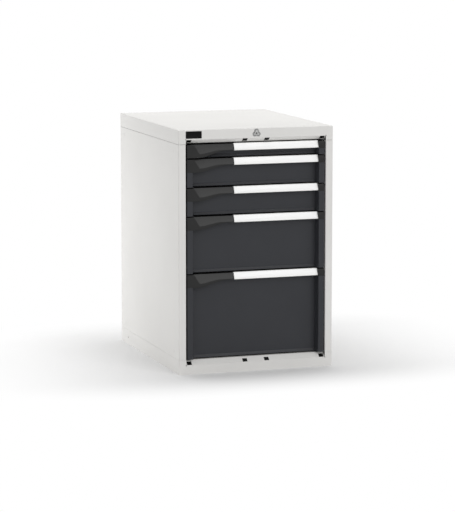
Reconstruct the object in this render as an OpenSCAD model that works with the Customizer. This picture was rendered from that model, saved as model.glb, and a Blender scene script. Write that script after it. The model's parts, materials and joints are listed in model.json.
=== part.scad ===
// Workshop drawer cabinet of folded sheet steel, in millimetres.
// The origin is on the floor under the middle of the casing, the front faces -Y and +Z is up.

/* [Casing] */
// Width of the casing
body_w = 564; // [530:1:640]
// Depth of the casing from its front face to its back
body_d = 725; // [700:1:800]
// Height of the base frame below the lowest drawer
base_h = 50; // [46:1:80]
// Height of the top cover above the highest drawer
lid_h = 50; // [48:1:80]
// Thickness of the casing sheet
sheet = 1.5; // [1.2:0.1:2]
// Outer radius of the folded casing edges
edge_r = 3; // [2.5:0.1:5]
// Width of each front post
post_w = 26; // [22:0.5:30]
// Depth of the flange that each post turns back into the casing
post_return = 20; // [12:1:32]
// Height of the straight part of the top cover's front
apron_h = 33; // [28:1:34]
// Height of the inclined fold over the drawers
top_fold_h = 13.5; // [10:0.5:14.5]
// Depth of the inclined fold over the drawers
top_fold_d = 19; // [16:0.5:22]
// Height of the inclined fold under the drawers
base_fold_h = 16.5; // [10:0.5:18]
// Depth of the inclined fold under the drawers
base_fold_d = 18; // [12:0.5:20]
// Distance of the base deck below the lowest drawer
deck_gap = 1.5; // [1:0.5:8]
// Width of the turned-in rim that the base stands on
base_rim = 30; // [20:1:60]
// Length that the front and back skirts of the base turn round the corners
skirt_return = 15; // [8:1:30]
// Open seam between the top cover and the panels under it
seam = 1; // [0.5:0.1:2]
// Hairline seam between the base and the panels over it
base_seam = 0.4; // [0.3:0.1:1]
// Width of the rear flange on each side panel
rear_flange = 20; // [12:1:24]

/* [Casing openings] */
// Width of each hinge slot in the folds
slot_w = 15; // [10:0.5:20]
// Length of each hinge slot along the upper fold's slope
top_slot_l = 17.5; // [8:0.5:18]
// Length of each hinge slot along the lower fold's slope
base_slot_l = 12; // [8:0.5:14]
// Distance of the hinge slots from the front edge of their fold
slot_lead = 2.5; // [2:0.5:4]
// Diameter of the relief notches where the folds meet the posts
relief_d = 4; // [2:0.5:6]
// Distance of the middle hinge slots from the centre line
slot_mid_x = 40; // [30:1:80]
// Gap between a corner hinge slot and its post
slot_post_gap = 5; // [2:0.5:10]
// Diameter of the fixing hole in each side of the base
fixing_d = 7; // [5:0.5:10]
// Distance of the fixing hole from the back
fixing_back = 90; // [60:1:150]
// Height of the fixing hole
fixing_z = 24.5; // [15:0.5:30]
// Diameter of the plugs in the side panels
plug_hole_d = 12; // [8:0.5:16]
// Diameter of the snap collar behind each plug
plug_collar_d = 15; // [13:0.5:18]
// Distance of the plugs from the front and back edges
plug_inset = 60; // [50:1:80]
// Distance of the plugs from the upper and lower seams
plug_seam_gap = 25; // [15:1:40]

/* [Drawers] */
// Height of the top drawer
drawer_1_h = 50; // [50:5:200]
// Height of the second drawer
drawer_2_h = 100; // [50:5:300]
// Height of the third drawer
drawer_3_h = 100; // [50:5:300]
// Height of the fourth drawer
drawer_4_h = 200; // [50:5:400]
// Height of the bottom drawer
drawer_5_h = 300; // [50:5:400]
// Gap between neighbouring drawer fronts
front_gap = 4; // [3:0.5:5]
// Gap between the drawer fronts and the posts
side_gap = 4.4; // [3:0.2:6]
// Thickness of the drawer front sheet
front_sheet = 1.2; // [1:0.1:1.5]
// Width of the flush column at each end of a front
column_w = 20; // [16:0.5:26]
// Depth of the recessed panel behind the columns
recess_d = 30; // [26:0.5:36]
// Draft of the recess at each side
recess_draft = 5; // [2:0.5:8]
// Depth of the sloping ledge at the foot of the recess
ledge_d = 8; // [6:0.5:14]
// Height of the sloping ledge
ledge_h = 8.5; // [5:0.5:10]
// Height of the ledge's front edge above the foot of the front
ledge_lift = 2.2; // [1.5:0.1:6]
// Thickness of the tray sheet
tray_sheet = 1; // [0.8:0.1:1.5]
// Height of the tray floor above the foot of its drawer
tray_lift = 6; // [4:0.5:9]
// Gap between the tray's rim and the top of its drawer
tray_rim_gap = 10; // [6:0.5:12]
// Room between the trays and the back panel
rear_room = 78; // [70:1:110]

/* [Handles] */
// Depth of the handle's upper edge behind the front face
handle_top_d = 14; // [10:0.5:18]
// Depth of the handle's foot behind the front face
handle_foot_d = 3; // [2:0.5:6]
// Height of the handle's sloping face
handle_h = 24.5; // [20:0.5:26]
// Height by which the handle stands above its front
handle_rise = 2; // [0:0.5:2]
// Fall of the handle's flange from its upper edge to the panel
handle_fall = 5; // [3:0.5:6]
// Wall of the handle profile
handle_wall = 2.2; // [1.6:0.1:3]
// Length that the handle's lower lip turns back
handle_lip = 8; // [6.5:0.5:10]
// Thickness of the label strip
label_t = 0.5; // [0.3:0.1:0.8]
// Length of the black grip at the left
grip_len = 170; // [140:1:200]
// Height of the grip over the left column
grip_h = 45; // [38:0.5:46]
// Height of the grip at its right end
grip_end_h = 22.5; // [18:0.5:26]
// Length of the grip's full-height end
grip_flat = 37; // [30:1:50]
// Length over which the grip's lower edge rises
grip_rise = 115; // [80:1:125]
// Set-back of the grip's lip at its right end
grip_set_back = 5; // [3:0.5:7]
// Wall of the grip
grip_wall = 3; // [2:0.5:4]
// Gap between the grip and the handle profile
grip_gap = 2.5; // [1:0.5:4]
// Height of the end cap over the right column
cap_h = 25; // [20:0.5:30]

/* [Slides] */
// Height of the slides' centre line above the foot of each drawer
slide_z = 24; // [20:0.5:28]
// Diameter of the slide rollers
roller_d = 20; // [14:0.5:22]
// Width of the slide rollers
roller_w = 7.2; // [5:0.1:7.6]
// Diameter of the roller pins
pin_d = 6; // [4:0.5:8]
// Depth of the slide rails
rail_d = 10; // [9.6:0.1:12]
// Thickness of the rail sheet
rail_sheet = 1.5; // [1:0.1:2]
// Thickness of the carriage bar
carriage_t = 2; // [1.5:0.1:3]
// Height of the carriage bar
carriage_h = 18; // [12:0.5:20]
// Running clearance round the rollers and pins
roll_gap = 0.3; // [0.2:0.05:0.5]
// Side clearance between the rails and the carriage
run_gap = 0.5; // [0.3:0.1:1]
// Depth of the rail uprights along the casing
upright_d = 40; // [30:1:50]
// Thickness of the upright sheet
upright_sheet = 2; // [1.5:0.1:3]

/* [Lock] */
// Distance of the lock below the top face
lock_drop = 17; // [16:0.5:20]
// Diameter of the lock barrel
barrel_d = 18; // [16:0.5:20]
// Length of the lock barrel behind the front face
barrel_l = 22; // [18:1:40]
// Diameter of the turning lock plug
plug_d = 12.4; // [10:0.1:13]
// Span of the three-lobed rosette
rosette_d = 30; // [28:0.5:32]
// Thickness of the rosette
rosette_t = 1.2; // [0.8:0.1:2]
// Width of the key slot
key_w = 3; // [1.5:0.1:3]
// Height of the key slot
key_h = 7; // [6:0.5:9]
// Diameter of the lock shaft
shaft_d = 10; // [6:0.5:12]
// Radius of the crank pin's circle
crank_r = 8.5; // [7:0.5:9.5]
// Diameter of the crank pin
crank_pin_d = 5; // [4:0.5:5]
// Width of the locking bar
bar_w = 30; // [28:1:40]
// Thickness of the locking bar
bar_t = 3; // [2:0.5:4]
// Distance of the locking bar behind the trays
bar_reach = 34; // [30:1:36]
// Width of the catch behind each tray
catch_w = 16; // [12:1:24]
// Height of each locking tab
tab_h = 15; // [10:1:16]
// Width of the name plate
plate_w = 57; // [40:1:80]
// Height of the name plate
plate_h = 25; // [15:0.5:28]
// Thickness of the name plate
plate_t = 1; // [0.5:0.1:1.5]

/* [Hidden] */
$fn = 48;
eps = 0.5;
fit = 0.3;

heights = [drawer_1_h, drawer_2_h, drawer_3_h, drawer_4_h, drawer_5_h];
drawer_count = len(heights);

casing_colour = "#dfdedb";
front_colour = "#3f4246";
grip_colour = "#2c2c2d";
label_colour = "#f4f4f2";
zinc_colour = "#b4b7ba";
dark_steel_colour = "#55585b";
black_colour = "#161616";

function total(v, from = 0) = from < len(v) ? v[from] + total(v, from + 1) : 0;

hw = body_w / 2;
hd = body_d / 2;
body_h = base_h + total(heights) + lid_h;
lid_foot = body_h - lid_h + seam;
panel_top = body_h - lid_h;
deck_top = base_h - deck_gap;
// The skirt stands a little above the deck
base_top = deck_top + 2;
panel_foot = base_top + base_seam;
post_in = hw - post_w;
// Straight stretches that lead into and out of the inclined folds
fold_lead = 2;
fold_tail = 12;

// Drawer sizes across the width and along the depth
front_hw = post_in - side_gap;
recess_hw = front_hw - column_w;
panel_hw = recess_hw - recess_draft;
panel_back = -hd + recess_d + front_sheet;
rear_in = hd - sheet;
tray_back = rear_in - rear_room;
tray_in_l = tray_back - panel_back - 2 * tray_sheet;
bend_r = 1.5;
travel = tray_in_l;

// Slide sizes inwards from the upright to the tray
upright_w = post_w + 0.5;
upright_x = hw - sheet - upright_w;
rail_h = roller_d + 2 * (roll_gap + rail_sheet);
carriage_out = upright_x - rail_d - run_gap;
carriage_in = carriage_out - carriage_t;
tray_hw = carriage_in - run_gap - rail_d;
rail_front = panel_back + front_sheet;
upright_y = [-hd + plug_inset, hd - plug_inset];
rail_back = upright_y[1] + upright_d / 2;
hook_t = 1.8;
hook_h = 10;
hook_reach = 4;
// Rollers: the inner row runs in the tray's rails and the outer row in the cabinet's rails
roller_x = [carriage_in - run_gap - roller_w, carriage_out + run_gap];
roller_end = roller_d / 2 + 3;
roller_y = [
    [panel_back + roller_end, panel_back + travel / 2 - roller_end],
    [rail_front + travel / 2 + roller_end, rail_front + travel - roller_end]
];
carriage_y = [panel_back + front_sheet, roller_y[1][1] + roller_end];

// Handle sizes across the width
strip_end_gap = 1.5;
grip_left = -front_hw;
grip_right = grip_left + grip_len;
strip_left = grip_right + grip_gap;
strip_right = recess_hw - strip_end_gap;
end_play = 1.5;
strip_bend_r = 2;
// The label lies on the straight part of the handle's face, clear of its bends
label_clear = [1.6, 4];
facet_h = handle_h * handle_top_d / (handle_top_d - handle_foot_d);
// Upper and lower ends of the slanting cheek that bounds the grip's sloping face
facet_cut = [25, 45];
// Length over which the grip's lip draws back
lip_sweep = 80;
// Columns shorter than this under a grip or cap are left out
least_stub = 6;

// Lock sizes: a quarter turn of the crank drops the bar by the throw
lock_x = 0;
lock_z = body_h - lock_drop;
crank_lift = crank_r * sin(45);
lock_throw = 2 * crank_lift;
crank_t = 6;
crank_rim = 2.5;
crank_gap = 4;
tab_gap = 2;
// Hairline left where one piece is riveted to another
rivet_gap = 0.2;
bar_y = tray_back + bar_reach;
crank_y = bar_y - crank_gap;
bar_foot = deck_top + lock_throw + tab_gap;
bar_head = lock_z + crank_lift + crank_pin_d / 2 + 3;
pin_end = bar_y + bar_t + 2;
catch_lift = 4;
catch_in = lock_x + bar_w / 2 + 3;
catch_out = catch_in + catch_w;
guide_h = 16;
guide_gap = 3;
guide_wrap = 4;
guide_t = 2;
// Drawers whose locking tabs the bar's guides stand over
guided = [2, drawer_count];
bracket_t = 2;
bracket_set = 30;
bracket_y = crank_y - bracket_set;
plug_tail = 1;
lobe_d = 16;

CASING_NODES = [
    "side_panel_left", "side_panel_right", "back_panel", "base_frame", "base_sides", "top_cover", "uprights",
    "cabinet_rails_left", "cabinet_rails_right", "side_plugs", "name_plate",
    "lock_housing", "lock_plug", "lock_shaft", "lock_bar"
];
DRAWER_PARTS = [
    "front", "tray", "handle", "label", "grip", "end_cap", "slide_rails", "carriages", "rollers"
];
function drawer_node(n, part) = str("drawer_", n, "_", part);

// Foot and top of a drawer, counted from the top drawer down
function foot_z(n) = base_h + total(heights, n);
function top_z(n) = foot_z(n) + heights[n - 1];
function front_foot(n) = foot_z(n) + front_gap / 2;
function front_top(n) = top_z(n) - front_gap / 2;
function catch_z(n) = foot_z(n) + tray_lift + catch_lift;
function tab_foot(n) = catch_z(n) + lock_throw + tab_gap;

function unit(v) = v / norm(v);
function left_of(v) = [-v[1], v[0]];
function turn_of(a, b) = sign(a[0] * b[1] - a[1] * b[0]);
function backwards(v) = [for (i = [len(v) - 1 : -1 : 0]) v[i]];
function ease(t) = let(s = min(1, max(0, t))) s * s * (3 - 2 * s);

// One side of a bend of centre radius r at corner b, off to the left of the path by off
function bend(a, b, c, r, off, steps = 4) =
    let(
        u = unit(a - b),
        w = unit(c - b),
        half = acos(u * w) / 2,
        centre = b + unit(u + w) * r / sin(half),
        start = b + u * r / tan(half) - centre,
        stop = b + w * r / tan(half) - centre,
        sweep = 180 - 2 * half,
        reach = (r - turn_of(b - a, c - b) * off) / r
    )
    [
        for (k = [0 : steps])
            let(t = k / steps)
            centre + reach * (start * sin(sweep * (1 - t)) + stop * sin(sweep * t)) / sin(sweep)
    ];

function side_line(path, r, off) =
    let(last = len(path) - 1)
    concat(
        [path[0] + off * left_of(unit(path[1] - path[0]))],
        [for (i = [1 : last - 1]) each bend(path[i - 1], path[i], path[i + 1], r, off)],
        [path[last] + off * left_of(unit(path[last] - path[last - 1]))]
    );

// Outline of a sheet of thickness t folded along a path of centre points
function folded(path, t, r = bend_r) =
    concat(side_line(path, r, t / 2), backwards(side_line(path, r, -t / 2)));

// Outline of a rectangle whose corners are rounded at the given radii, from lower left anticlockwise
function rounded(low, high, radii) =
    let(
        corners = [low, [high[0], low[1]], high, [low[0], high[1]]],
        inward = [[1, 1], [-1, 1], [-1, -1], [1, -1]]
    )
    [
        for (i = [0 : 3])
            let(r = radii[i], centre = corners[i] + r * inward[i])
            for (k = [0 : r > 0 ? 4 : 0])
                centre + r * [cos(180 + 90 * i + 22.5 * k), sin(180 + 90 * i + 22.5 * k)]
    ];

// Runs a shape drawn in depth and height along the width
module along_x(x0, x1) {
    translate([x0, 0, 0])
        rotate([90, 0, 90])
            linear_extrude(x1 - x0)
                children();
}

// Runs a shape drawn in width and height along the depth
module along_y(y0, y1) {
    translate([0, y1, 0])
        rotate([90, 0, 0])
            linear_extrude(y1 - y0)
                children();
}

// Runs a shape drawn in width and depth up the height
module along_z(z0, z1) {
    translate([0, 0, z0])
        linear_extrude(z1 - z0)
            children();
}

module block(low, high) {
    translate(low)
        cube(high - low);
}

// Round bar along the width or the depth
module rod_x(x0, x1, y, z, d) {
    translate([x0, y, z])
        rotate([0, 90, 0])
            cylinder(d = d, h = x1 - x0);
}

module rod_y(x, y0, y1, z, d) {
    translate([x, y0, z])
        rotate([-90, 0, 0])
            cylinder(d = d, h = y1 - y0);
}

// Depth behind the front face, drawn in depth and height
module from_front(z) {
    translate([-hd, z])
        children();
}

// Draws its children on both sides of the casing
module both_sides() {
    children();
    mirror([1, 0, 0])
        children();
}

// Closed body with the casing's plan and rounded upright edges, set in by an inset
module casing_plan(inset) {
    r = max(edge_r - inset, 0.5);
    polygon(rounded([-hw + inset, -hd + inset], [hw - inset, hd - inset], [r, r, r, r]));
}

// Hinge slots of a length through a fold that slopes back from its front edge at a height
module hinge_slots(z, tilt, l) {
    along = slot_lead + l / 2;
    for (x = [slot_mid_x, post_in - slot_post_gap - slot_w / 2])
        both_sides()
            translate([x, -hd + along * cos(tilt), z + along * sin(tilt)])
                rotate([tilt, 0, 0])
                    cube([slot_w, l, 8 * sheet], center = true);
}

module side_panel_profile() {
    half = sheet / 2;
    polygon(folded([
        [hw - rear_flange, hd - 1.5 * sheet],
        [hw - half, hd - 1.5 * sheet],
        [hw - half, -hd + half],
        [post_in + half, -hd + half],
        [post_in + half, -hd + post_return]
    ], sheet, edge_r - half));
}

module side_panel() {
    color(casing_colour)
        difference() {
            along_z(panel_foot, panel_top) side_panel_profile();
            for (y = plug_rows(), z = plug_levels())
                rod_x(hw - 2 * sheet, hw + eps, y, z, plug_hole_d);
        }
}

function plug_rows() = [-hd + plug_inset, hd - plug_inset];
function plug_levels() = [base_h + plug_seam_gap, panel_top - plug_seam_gap];

module side_panel_right() {
    side_panel();
}

module side_panel_left() {
    mirror([1, 0, 0]) side_panel();
}

// Back sheet with the guides of the locking bar welded to it
module back_panel() {
    color(casing_colour) {
        block([-hw + 2 * sheet, rear_in, panel_foot], [hw - 2 * sheet, hd, panel_top]);
        for (n = guided)
            translate([lock_x, 0, tab_foot(n) + tab_h + guide_gap])
                along_z(0, guide_h)
                    both_sides()
                        guide_half();
    }
}

module guide_half() {
    side = bar_w / 2 + fit;
    wrap = bar_w / 2 - guide_wrap;
    translate([side, bar_y - fit - guide_t])
        square([guide_t, rear_in - bar_y + fit + guide_t]);
    translate([wrap, bar_y - fit - guide_t])
        square([side - wrap + eps, guide_t]);
    translate([wrap, bar_y + bar_t + fit])
        square([side - wrap + eps, guide_t]);
}

// Cuts the sheet clear where a fold at a height meets the posts
module fold_reliefs(z) {
    both_sides()
        rod_y(post_in, -hd - eps, -hd + 2 * sheet, z, relief_d);
}

// Base pan: front and back skirts, deck, inclined front fold and the rim that stands on the floor
module base_frame() {
    front_h = deck_top - base_fold_h;
    color(casing_colour)
        difference() {
            union() {
                difference() {
                    along_z(0, base_top) casing_plan(0);
                    along_z(-eps, base_top + eps) casing_plan(sheet);
                    block(
                        [-hw - eps, -hd + skirt_return, -eps],
                        [hw + eps, hd - skirt_return, base_top + eps]
                    );
                    block([-post_in, -hd - eps, front_h], [post_in, -hd + 2 * sheet, base_top + eps]);
                }
                difference() {
                    block([-hw + sheet, -hd + sheet / 2, 0], [hw - sheet, hd - sheet / 2, sheet]);
                    along_z(-eps, sheet + eps) casing_plan(base_rim);
                }
                along_x(-post_in, post_in)
                    from_front(0)
                        polygon(folded([
                            [sheet / 2, front_h - fold_lead],
                            [sheet / 2, front_h],
                            [base_fold_d, deck_top - sheet / 2],
                            [base_fold_d + fold_tail, deck_top - sheet / 2]
                        ], sheet));
                block(
                    [-hw + sheet, -hd + base_fold_d + fold_tail - sheet, deck_top - sheet],
                    [hw - sheet, hd - sheet / 2, deck_top]
                );
            }
            hinge_slots(front_h, atan2(base_fold_h, base_fold_d), base_slot_l);
            fold_reliefs(front_h);
        }
}

// Side skirts of the base with their fixing holes
module base_sides() {
    color(casing_colour)
        both_sides()
            difference() {
                block([hw - sheet, -hd + skirt_return, 0], [hw, hd - skirt_return, base_top]);
                rod_x(hw - 2 * sheet, hw + eps, hd - fixing_back, fixing_z, fixing_d);
            }
}

// Top cover: folded cap with an inclined front fold between the posts and the shaft bracket inside
module top_cover() {
    apron_foot = body_h - apron_h;
    color(casing_colour)
        difference() {
            union() {
                difference() {
                    cap_solid(0);
                    cap_solid(sheet);
                    block([-post_in, -hd - eps, lid_foot - eps], [post_in, -hd + 2 * sheet, apron_foot]);
                }
                along_x(-post_in, post_in)
                    from_front(0)
                        polygon(folded([
                            [sheet / 2, apron_foot + fold_lead],
                            [sheet / 2, apron_foot],
                            [top_fold_d, apron_foot - top_fold_h + sheet / 2],
                            [top_fold_d + fold_tail, apron_foot - top_fold_h + sheet / 2]
                        ], sheet));
                block(
                    [lock_x - shaft_d, bracket_y, lock_z - shaft_d],
                    [lock_x + shaft_d, bracket_y + bracket_t, body_h - sheet / 2]
                );
            }
            hinge_slots(apron_foot, -atan2(top_fold_h, top_fold_d), top_slot_l);
            fold_reliefs(apron_foot);
            rod_y(lock_x, -hd - eps, -hd + 3 * sheet, lock_z, barrel_d + 2 * fit);
            rod_y(lock_x, bracket_y - eps, bracket_y + bracket_t + eps, lock_z, shaft_d + 2 * fit);
        }
}

// Cap with rounded upper and upright edges, set in by an inset and open below
module cap_solid(inset) {
    r = max(edge_r - inset, 0.5);
    foot = inset > 0 ? lid_foot - eps : lid_foot;
    head = body_h - inset;
    intersection() {
        along_z(foot, head) casing_plan(inset);
        along_y(-hd + inset, hd - inset)
            polygon(rounded([-hw + inset, foot], [hw - inset, head], [0, 0, r, r]));
        along_x(-hw + inset, hw - inset)
            polygon(rounded([-hd + inset, foot], [hd - inset, head], [0, 0, r, r]));
    }
}

// Channel uprights that stand on the deck, hold the cabinet rails and reach up inside the cover
module uprights() {
    head = body_h - edge_r;
    color(zinc_colour)
        both_sides()
            for (y = upright_y)
                difference() {
                    block([upright_x, y - upright_d / 2, deck_top], [hw - sheet, y + upright_d / 2, head]);
                    block(
                        [upright_x + upright_sheet, y - upright_d / 2 + upright_sheet, deck_top - eps],
                        [hw, y + upright_d / 2 - upright_sheet, body_h]
                    );
                    for (n = [1 : drawer_count])
                        translate([upright_x + upright_sheet / 2, y, foot_z(n) + slide_z])
                            cube([2 * upright_sheet, hook_t + 2 * fit, hook_h + 2 * fit], center = true);
                }
}

// Channel section of a slide rail with its web at x = 0, open towards positive x
module rail_section() {
    difference() {
        translate([0, -rail_h / 2]) square([rail_d, rail_h]);
        translate([rail_sheet, -rail_h / 2 + rail_sheet]) square([rail_d, rail_h - 2 * rail_sheet]);
    }
}

// Rails that hook into the uprights on one side
module cabinet_rails() {
    color(zinc_colour)
        for (n = [1 : drawer_count])
            translate([0, 0, foot_z(n) + slide_z]) {
                along_y(rail_front, rail_back)
                    translate([upright_x, 0]) mirror([1, 0]) rail_section();
                for (y = upright_y)
                    block(
                        [upright_x - rail_sheet, y - hook_t / 2, -hook_h / 2],
                        [upright_x + hook_reach, y + hook_t / 2, hook_h / 2]
                    );
            }
}

module cabinet_rails_right() {
    cabinet_rails();
}

module cabinet_rails_left() {
    mirror([1, 0, 0]) cabinet_rails();
}

// Flush plugs that close the fixing points of the uprights
module side_plugs() {
    color(casing_colour)
        both_sides()
            for (y = plug_rows(), z = plug_levels()) {
                rod_x(hw - sheet - eps, hw, y, z, plug_hole_d - 2 * fit);
                rod_x(hw - sheet - 1, hw - sheet, y, z, plug_collar_d);
            }
}

// Bare plate on the left of the top cover's front
module name_plate() {
    z = body_h - lock_drop - plate_h / 2;
    x = -post_in;
    color(black_colour)
        along_y(-hd - plate_t, -hd)
            polygon(rounded([x, z], [x + plate_w, z + plate_h], [2, 2, 2, 2]));
}

// Lock barrel with its three-lobed rosette
module lock_housing() {
    color(zinc_colour)
        difference() {
            union() {
                along_y(-hd - rosette_t, -hd)
                    translate([lock_x, lock_z]) {
                        circle(d = barrel_d);
                        for (a = [90, 210, 330])
                            rotate(a)
                                translate([(rosette_d - lobe_d) / 2, 0])
                                    circle(d = lobe_d);
                    }
                rod_y(lock_x, -hd - eps, -hd + barrel_l, lock_z, barrel_d);
            }
            rod_y(lock_x, -hd - rosette_t - eps, -hd + barrel_l + eps, lock_z, plug_d + 2 * fit);
        }
}

// Turning plug with its key slot
module lock_plug() {
    color(dark_steel_colour)
        difference() {
            rod_y(lock_x, -hd - rosette_t, -hd + barrel_l + plug_tail, lock_z, plug_d);
            block(
                [lock_x - key_w / 2, -hd - rosette_t - eps, lock_z - key_h / 2],
                [lock_x + key_w / 2, -hd + barrel_l / 2, lock_z + key_h / 2]
            );
        }
}

// Shaft from the plug to the crank that drives the locking bar
module lock_shaft() {
    color(zinc_colour) {
        rod_y(lock_x, -hd + barrel_l + plug_tail, crank_y - crank_t, lock_z, shaft_d);
        rod_y(lock_x, crank_y - crank_t, crank_y, lock_z, 2 * (crank_r + crank_rim) + crank_pin_d);
        rod_y(lock_x + crank_lift, crank_y - crank_t / 2, pin_end, lock_z + crank_lift, crank_pin_d);
    }
}

// Upright bar with a cross tab over each drawer's catch
module lock_bar() {
    pin_x = lock_x + (crank_lift + crank_r) / 2;
    pin_z = lock_z + crank_lift;
    pin_play = (crank_r - crank_lift) / 2 + fit;
    slot_h = crank_pin_d + 4 * fit;
    tab_y = bar_y - rivet_gap - bar_t;
    color(zinc_colour) {
        difference() {
            block([lock_x - bar_w / 2, bar_y, bar_foot], [lock_x + bar_w / 2, bar_y + bar_t, bar_head]);
            for (side = [-1, 1])
                rod_y(pin_x + side * pin_play, bar_y - eps, bar_y + bar_t + eps, pin_z, slot_h);
            block(
                [pin_x - pin_play, bar_y - eps, pin_z - slot_h / 2],
                [pin_x + pin_play, bar_y + bar_t + eps, pin_z + slot_h / 2]
            );
        }
        for (n = [1 : drawer_count])
            block(
                [lock_x - bar_w / 2, tab_y, tab_foot(n)],
                [catch_out, tab_y + bar_t, tab_foot(n) + tab_h]
            );
    }
}

// Folded drawer front: flush columns, recessed panel and the ledge at its foot
module drawer_front(n) {
    half = front_sheet / 2;
    right_half = [
        [panel_hw, -hd + recess_d + half],
        [recess_hw, -hd + half],
        [front_hw - half, -hd + half],
        [front_hw - half, -hd + recess_d]
    ];
    left_half = [for (p = backwards(right_half)) [-p[0], p[1]]];
    color(front_colour)
        difference() {
            union() {
                along_z(front_foot(n), front_top(n))
                    polygon(folded(concat(left_half, right_half), front_sheet));
                both_sides()
                    along_z(front_foot(n), front_foot(n) + front_sheet)
                        polygon([
                            [recess_hw, -hd + half],
                            [front_hw - half, -hd + half],
                            [front_hw - half, -hd + recess_d],
                            [panel_hw, -hd + recess_d]
                        ]);
                intersection() {
                    along_x(-front_hw, front_hw)
                        from_front(front_foot(n))
                            polygon(folded([
                                [recess_d + half, ledge_lift + ledge_h],
                                [recess_d - ledge_d, ledge_lift]
                            ], front_sheet));
                    along_z(front_foot(n), front_top(n)) recess_plan();
                }
            }
            column_notch(n, -1, grip_h);
            column_notch(n, 1, cap_h);
        }
}

// Plan of the recess between the drafted walls
module recess_plan() {
    polygon([
        [-recess_hw, -hd],
        [recess_hw, -hd],
        [panel_hw, -hd + recess_d + front_sheet],
        [-panel_hw, -hd + recess_d + front_sheet]
    ]);
}

// A notch that would leave only a thin stub of column runs through to the foot
function notch_foot(n, h) =
    let(z = front_top(n) - h)
    z - front_foot(n) < least_stub ? front_foot(n) - eps : z;

// Cuts a column away where the grip or the end cap stands in for it
module column_notch(n, side, h) {
    foot = notch_foot(n, h);
    mirror([side < 0 ? 1 : 0, 0, 0]) {
        block([panel_hw + 1, -hd - eps, foot], [front_hw + eps, -hd + recess_d + 2 * front_sheet, top_z(n)]);
        block([panel_hw - 2, -hd - eps, foot], [front_hw + eps, -hd + recess_d, top_z(n)]);
    }
}

// Open tray with the catch of the central lock riveted to its back
module drawer_tray(n) {
    floor_z = foot_z(n) + tray_lift;
    rim_z = top_z(n) - tray_rim_gap;
    color(zinc_colour) {
        difference() {
            block([-tray_hw, panel_back, floor_z], [tray_hw, tray_back, rim_z]);
            block(
                [-tray_hw + tray_sheet, panel_back + tray_sheet, floor_z + tray_sheet],
                [tray_hw - tray_sheet, tray_back - tray_sheet, rim_z + eps]
            );
        }
        along_x(catch_in, catch_out)
            translate([0, catch_z(n)])
                polygon(folded(catch_path(), sheet));
    }
}

// Centre points of the catch's section from its foot on the tray to the lip that the tab drops in front of
function catch_path() =
    let(
        foot_y = tray_back + rivet_gap + sheet / 2,
        lip_y = bar_y + tab_gap + sheet / 2
    )
    [
        [foot_y, lock_throw],
        [foot_y, -sheet / 2],
        [lip_y, -sheet / 2],
        [lip_y, lock_throw]
    ];

// Centre points of the handle's section behind the front face, from the panel to the lower lip
function handle_path() =
    let(half = handle_wall / 2)
    [
        [recess_d + half, -handle_fall - half],
        [handle_top_d + half, -half],
        [handle_foot_d + half, -handle_h],
        [handle_foot_d + handle_lip, -handle_h + 1]
    ];

// Inclined handle profile along the top of the recess, its flange ending flush on the panel
module drawer_handle(n) {
    color(label_colour)
        along_x(strip_left, strip_right)
            from_front(front_top(n) + handle_rise)
                intersection() {
                    polygon(folded(handle_path(), handle_wall, strip_bend_r));
                    translate([0, -2 * handle_h]) square([recess_d, 2 * handle_h]);
                }
}

// Label strip on the handle's sloping face
module drawer_label(n) {
    path = handle_path();
    down = unit(path[2] - path[1]);
    out = -left_of(down);
    start = path[1] + out * handle_wall / 2 + label_clear[0] * down;
    stop = path[2] + out * handle_wall / 2 - label_clear[1] * down;
    color(label_colour)
        along_x(strip_left + end_play, strip_right - end_play)
            from_front(front_top(n) + handle_rise)
                polygon([start, stop, stop + out * label_t, start + out * label_t]);
}

// Lower edge and lip set-back of the grip at a distance from its left end
function grip_low(s) = -grip_h + (grip_h - grip_end_h) * ease((s - grip_flat) / grip_rise);
function grip_back(s) = grip_set_back * ease((s - facet_cut[1]) / lip_sweep);
grip_steps = [for (k = [0 : 16]) grip_flat + k / 16 * (grip_len - grip_flat)];

// Moulded grip: full height over the left column, sweeping up to the handle profile
module drawer_grip(n) {
    lean = handle_top_d / facet_h;
    color(grip_colour)
        translate([grip_left, 0, front_top(n)])
            difference() {
                intersection() {
                    along_y(-hd, -hd + recess_d)
                        polygon(concat(
                            [[grip_len, 0], [0, 0], [0, -grip_h]],
                            [for (s = grip_steps) [s, grip_low(s)]]
                        ));
                    along_z(-grip_h, 0)
                        polygon(concat(
                            [[grip_len, -hd + recess_d], [0, -hd + recess_d], [0, -hd]],
                            [for (s = grip_steps) [s, -hd + grip_back(s)]]
                        ));
                }
                intersection() {
                    along_x(0, grip_len + eps)
                        from_front(0)
                            polygon([
                                [-eps, eps],
                                [handle_top_d + lean * eps, eps],
                                [-eps, -facet_h - eps / lean]
                            ]);
                    along_y(-hd - eps, -hd + recess_d)
                        polygon([
                            [facet_cut[0] - eps, eps],
                            [grip_len + eps, eps],
                            [grip_len + eps, -grip_h],
                            [facet_cut[1] + (facet_cut[1] - facet_cut[0]) * (grip_h / facet_h - 1), -grip_h]
                        ]);
                }
                grip_hollow(lean);
                block(
                    [grip_wall, -hd + grip_wall, -grip_h + grip_wall],
                    [column_w + recess_draft - grip_wall, -hd + recess_d + eps, -grip_wall]
                );
            }
}

// Finger hollow behind the grip's sloping face and lip
module grip_hollow(lean) {
    skin = grip_wall * sqrt(1 + lean * lean);
    lip_back = grip_set_back + grip_wall;
    along_x(column_w + recess_draft, grip_len - grip_wall)
        from_front(0)
            polygon([
                [handle_top_d + skin - lean * grip_wall, -grip_wall],
                [recess_d + eps, -grip_wall],
                [recess_d + eps, -grip_h - eps],
                [lip_back, -grip_h - eps],
                [lip_back, -(handle_top_d + skin - lip_back) / lean]
            ]);
}

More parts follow.
